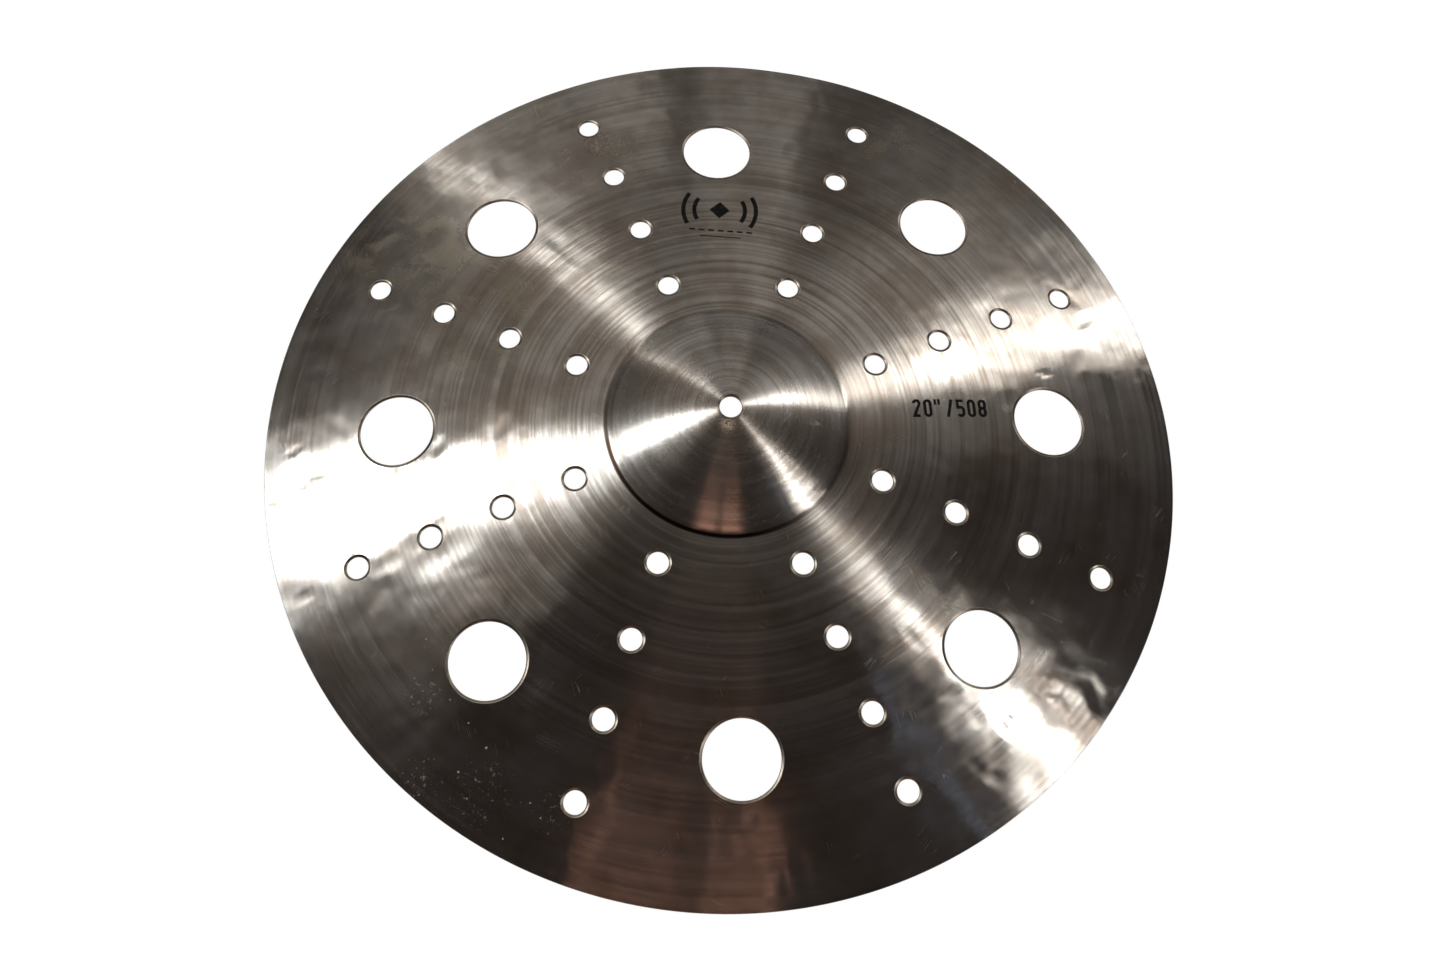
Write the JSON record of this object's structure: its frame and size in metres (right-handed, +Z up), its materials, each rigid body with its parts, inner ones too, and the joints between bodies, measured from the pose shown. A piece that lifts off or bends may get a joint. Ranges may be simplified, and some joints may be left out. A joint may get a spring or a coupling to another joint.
{
  "type": "crash cymbal",
  "caption": "Domed bronze crash cymbal with a raised bell, a centre hole for a stand, large and small tone holes through its bow and plain ink prints.",
  "frame": {"origin": "on the axis of the centre hole, level with the bottom of the rim that the cymbal lies on", "axes": "+Z up along the stand's rod, out of the top of the bell; +Y towards the emblem, which reads upright seen from the -Y side; +X towards the size mark"},
  "size_m": [0.508, 0.508, 0.0376],
  "materials": {
    "bronze": "turned with fine concentric grooves over hammer marks, dull silvery bronze",
    "ink": "thin black stamped ink, matt"
  },
  "bodies": {
    "root": {"cymbal_plate": "bronze", "emblem_print": "ink", "dash_print": "ink", "size_print": "ink"}
  },
  "joints": []
}
